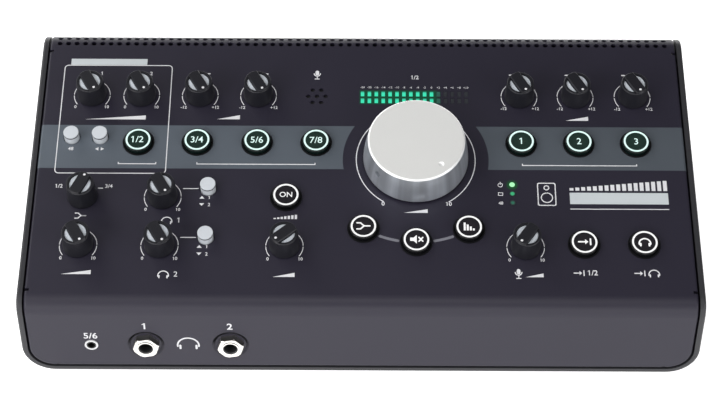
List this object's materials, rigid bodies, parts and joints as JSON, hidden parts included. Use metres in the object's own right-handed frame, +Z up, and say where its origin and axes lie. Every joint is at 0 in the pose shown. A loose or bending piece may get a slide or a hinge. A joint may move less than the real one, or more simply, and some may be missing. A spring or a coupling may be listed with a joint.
{
  "type": "studio monitor controller",
  "caption": "Desktop studio monitor controller: sloping metal console with a large volume knob, small trim knobs, lit round keys, a level meter, and sockets at front and rear.",
  "frame": {"origin": "middle of the whole controller's box, on the surface that its feet stand on", "axes": "+X to the user's right, +Y to the rear, +Z up; the front face with the headphone sockets faces -Y"},
  "size_m": [0.345, 0.178, 0.0922],
  "materials": {
    "tray_paint": "fine-textured black powder coat",
    "cover_paint": "satin black powder coat",
    "rear_paint": "satin black powder coat",
    "foot_rubber": "matt rubber",
    "zinc_screw": "black zinc",
    "board_green": "solder mask",
    "spacer_steel": "bright zinc",
    "switch_body": "moulded",
    "pot_body": "stamped",
    "knob_plastic": "satin moulded",
    "volume_metal": "bead-blasted, bright edge",
    "hub_plastic": "moulded",
    "key_green": "smoked, lit",
    "key_black": "smoked, lit",
    "bezel_black": "moulded",
    "button_white": "moulded",
    "lens_clear": "translucent",
    "boot_rubber": "matt rubber",
    "socket_plastic": "moulded",
    "nickel": "bright nickel",
    "ring_white": "moulded",
    "rocker_black": "moulded"
  },
  "bodies": {
    "case": {"base_tray": "tray_paint", "top_cover": "cover_paint", "rear_panel": "rear_paint", "control_board": "board_green", "main_board": "board_green", "front_socket_board": "board_green", "board_spacers": "spacer_steel", "board_screws": "spacer_steel", "case_screws": "zinc_screw", "rubber_feet": "foot_rubber", "cue_selector_switch": "pot_body", "potentiometers": "pot_body", "volume_potentiometer": "pot_body", "volume_nut": "nickel", "key_bezels": "bezel_black", "key_switches": "switch_body", "latching_switches": "switch_body", "meter_and_lamp_lenses": "lens_clear", "talkback_microphone": "boot_rubber", "headphone_sockets": "socket_plastic", "small_stereo_socket": "ring_white", "line_sockets": "socket_plastic", "combined_input_sockets": "socket_plastic", "computer_socket": "nickel", "socket_nuts": "nickel", "power_inlet": "socket_plastic", "power_switch_housing": "rocker_black"},
    "gain_knob_1": {"gain_knob_1": "knob_plastic"},
    "gain_knob_2": {"gain_knob_2": "knob_plastic"},
    "source_trim_knob_1": {"source_trim_knob_1": "knob_plastic"},
    "source_trim_knob_2": {"source_trim_knob_2": "knob_plastic"},
    "monitor_trim_knob_a": {"monitor_trim_knob_a": "knob_plastic"},
    "monitor_trim_knob_b": {"monitor_trim_knob_b": "knob_plastic"},
    "monitor_trim_knob_c": {"monitor_trim_knob_c": "knob_plastic"},
    "cue_source_knob": {"cue_source_knob": "knob_plastic"},
    "phones_knob_1": {"phones_knob_1": "knob_plastic"},
    "direct_monitoring_knob": {"direct_monitoring_knob": "knob_plastic"},
    "phones_knob_2": {"phones_knob_2": "knob_plastic"},
    "studio_level_knob": {"studio_level_knob": "knob_plastic"},
    "talkback_level_knob": {"talkback_level_knob": "knob_plastic"},
    "volume_knob": {"volume_knob": "volume_metal", "volume_knob_hub": "hub_plastic"},
    "input_key": {"input_key": "key_green"},
    "source_key_a": {"source_key_a": "key_green"},
    "source_key_b": {"source_key_b": "key_green"},
    "source_key_c": {"source_key_c": "key_green"},
    "monitor_key_a": {"monitor_key_a": "key_green"},
    "monitor_key_b": {"monitor_key_b": "key_green"},
    "monitor_key_c": {"monitor_key_c": "key_green"},
    "studio_on_key": {"studio_on_key": "key_black"},
    "mono_key": {"mono_key": "key_black"},
    "mute_key": {"mute_key": "key_black"},
    "dim_key": {"dim_key": "key_black"},
    "talk_to_track_key": {"talk_to_track_key": "key_black"},
    "talk_to_cue_key": {"talk_to_cue_key": "key_black"},
    "phantom_power_button": {"phantom_power_button": "button_white"},
    "stereo_pan_button": {"stereo_pan_button": "button_white"},
    "phones_source_button_1": {"phones_source_button_1": "button_white"},
    "phones_source_button_2": {"phones_source_button_2": "button_white"},
    "power_rocker": {"power_rocker": "rocker_black"}
  },
  "joints": [
    {"name": "gain_knob_1_turn", "type": "hinge", "parent": "case", "child": "gain_knob_1", "pos_m": [-0.1435, 0.04062, 0.07731], "axis": [0, -0.2079, 0.9781], "range_deg": [0, 300]},
    {"name": "gain_knob_2_turn", "type": "hinge", "parent": "case", "child": "gain_knob_2", "pos_m": [-0.1172, 0.04062, 0.07731], "axis": [0, -0.2079, 0.9781], "range_deg": [0, 300]},
    {"name": "source_trim_knob_1_turn", "type": "hinge", "parent": "case", "child": "source_trim_knob_1", "pos_m": [-0.0861, 0.04062, 0.07731], "axis": [0, -0.2079, 0.9781], "range_deg": [0, 300]},
    {"name": "source_trim_knob_2_turn", "type": "hinge", "parent": "case", "child": "source_trim_knob_2", "pos_m": [-0.0551, 0.04062, 0.07731], "axis": [0, -0.2079, 0.9781], "range_deg": [0, 300]},
    {"name": "monitor_trim_knob_a_turn", "type": "hinge", "parent": "case", "child": "monitor_trim_knob_a", "pos_m": [0.0833, 0.04062, 0.07731], "axis": [0, -0.2079, 0.9781], "range_deg": [0, 300]},
    {"name": "monitor_trim_knob_b_turn", "type": "hinge", "parent": "case", "child": "monitor_trim_knob_b", "pos_m": [0.1131, 0.04062, 0.07731], "axis": [0, -0.2079, 0.9781], "range_deg": [0, 300]},
    {"name": "monitor_trim_knob_c_turn", "type": "hinge", "parent": "case", "child": "monitor_trim_knob_c", "pos_m": [0.1434, 0.04062, 0.07731], "axis": [0, -0.2079, 0.9781], "range_deg": [0, 300]},
    {"name": "cue_source_knob_turn", "type": "hinge", "parent": "case", "child": "cue_source_knob", "pos_m": [-0.1437, -0.02171, 0.06406], "axis": [0, -0.2079, 0.9781], "range_deg": [-45, 45]},
    {"name": "phones_knob_1_turn", "type": "hinge", "parent": "case", "child": "phones_knob_1", "pos_m": [-0.1024, -0.02171, 0.06406], "axis": [0, -0.2079, 0.9781], "range_deg": [0, 300]},
    {"name": "direct_monitoring_knob_turn", "type": "hinge", "parent": "case", "child": "direct_monitoring_knob", "pos_m": [-0.1437, -0.05015, 0.05801], "axis": [0, -0.2079, 0.9781], "range_deg": [0, 300]},
    {"name": "phones_knob_2_turn", "type": "hinge", "parent": "case", "child": "phones_knob_2", "pos_m": [-0.1024, -0.05015, 0.05801], "axis": [0, -0.2079, 0.9781], "range_deg": [0, 300]},
    {"name": "studio_level_knob_turn", "type": "hinge", "parent": "case", "child": "studio_level_knob", "pos_m": [-0.039, -0.05015, 0.05801], "axis": [0, -0.2079, 0.9781], "range_deg": [-280, 20]},
    {"name": "talkback_level_knob_turn", "type": "hinge", "parent": "case", "child": "talkback_level_knob", "pos_m": [0.0833, -0.05015, 0.05801], "axis": [0, -0.2079, 0.9781], "range_deg": [-295, 5]},
    {"name": "volume_knob_turn", "type": "hinge", "parent": "case", "child": "volume_knob", "pos_m": [0.02805, 0.0016, 0.06901], "axis": [0, -0.2079, 0.9781], "range_deg": [-7, 287]},
    {"name": "input_key_press", "type": "slide", "parent": "case", "child": "input_key", "axis": [0, 0.2079, -0.9781], "range_m": [0, 0.0012], "stiffness_N_per_m": 900, "springref_m": -0.0005},
    {"name": "source_key_a_press", "type": "slide", "parent": "case", "child": "source_key_a", "axis": [0, 0.2079, -0.9781], "range_m": [0, 0.0012], "stiffness_N_per_m": 900, "springref_m": -0.0005},
    {"name": "source_key_b_press", "type": "slide", "parent": "case", "child": "source_key_b", "axis": [0, 0.2079, -0.9781], "range_m": [0, 0.0012], "stiffness_N_per_m": 900, "springref_m": -0.0005},
    {"name": "source_key_c_press", "type": "slide", "parent": "case", "child": "source_key_c", "axis": [0, 0.2079, -0.9781], "range_m": [0, 0.0012], "stiffness_N_per_m": 900, "springref_m": -0.0005},
    {"name": "monitor_key_a_press", "type": "slide", "parent": "case", "child": "monitor_key_a", "axis": [0, 0.2079, -0.9781], "range_m": [0, 0.0012], "stiffness_N_per_m": 900, "springref_m": -0.0005},
    {"name": "monitor_key_b_press", "type": "slide", "parent": "case", "child": "monitor_key_b", "axis": [0, 0.2079, -0.9781], "range_m": [0, 0.0012], "stiffness_N_per_m": 900, "springref_m": -0.0005},
    {"name": "monitor_key_c_press", "type": "slide", "parent": "case", "child": "monitor_key_c", "axis": [0, 0.2079, -0.9781], "range_m": [0, 0.0012], "stiffness_N_per_m": 900, "springref_m": -0.0005},
    {"name": "studio_on_key_press", "type": "slide", "parent": "case", "child": "studio_on_key", "axis": [0, 0.2079, -0.9781], "range_m": [0, 0.0012], "stiffness_N_per_m": 900, "springref_m": -0.0005},
    {"name": "mono_key_press", "type": "slide", "parent": "case", "child": "mono_key", "axis": [0, 0.2079, -0.9781], "range_m": [0, 0.0012], "stiffness_N_per_m": 900, "springref_m": -0.0005},
    {"name": "mute_key_press", "type": "slide", "parent": "case", "child": "mute_key", "axis": [0, 0.2079, -0.9781], "range_m": [0, 0.0012], "stiffness_N_per_m": 900, "springref_m": -0.0005},
    {"name": "dim_key_press", "type": "slide", "parent": "case", "child": "dim_key", "axis": [0, 0.2079, -0.9781], "range_m": [0, 0.0012], "stiffness_N_per_m": 900, "springref_m": -0.0005},
    {"name": "talk_to_track_key_press", "type": "slide", "parent": "case", "child": "talk_to_track_key", "axis": [0, 0.2079, -0.9781], "range_m": [0, 0.0012], "stiffness_N_per_m": 900, "springref_m": -0.0005},
    {"name": "talk_to_cue_key_press", "type": "slide", "parent": "case", "child": "talk_to_cue_key", "axis": [0, 0.2079, -0.9781], "range_m": [0, 0.0012], "stiffness_N_per_m": 900, "springref_m": -0.0005},
    {"name": "phantom_power_button_press", "type": "slide", "parent": "case", "child": "phantom_power_button", "axis": [0, 0.2079, -0.9781], "range_m": [0, 0.002], "stiffness_N_per_m": 500, "springref_m": -0.0006},
    {"name": "stereo_pan_button_press", "type": "slide", "parent": "case", "child": "stereo_pan_button", "axis": [0, 0.2079, -0.9781], "range_m": [0, 0.002], "stiffness_N_per_m": 500, "springref_m": -0.0006},
    {"name": "phones_source_button_1_press", "type": "slide", "parent": "case", "child": "phones_source_button_1", "axis": [0, 0.2079, -0.9781], "range_m": [0, 0.002], "stiffness_N_per_m": 500, "springref_m": -0.0006},
    {"name": "phones_source_button_2_press", "type": "slide", "parent": "case", "child": "phones_source_button_2", "axis": [0, 0.2079, -0.9781], "range_m": [0, 0.002], "stiffness_N_per_m": 500, "springref_m": -0.0006},
    {"name": "power_rocker_tilt", "type": "hinge", "parent": "case", "child": "power_rocker", "pos_m": [0.144, 0.0827, 0.0295], "axis": [0, 0, 1], "range_deg": [-16, 0]}
  ]
}
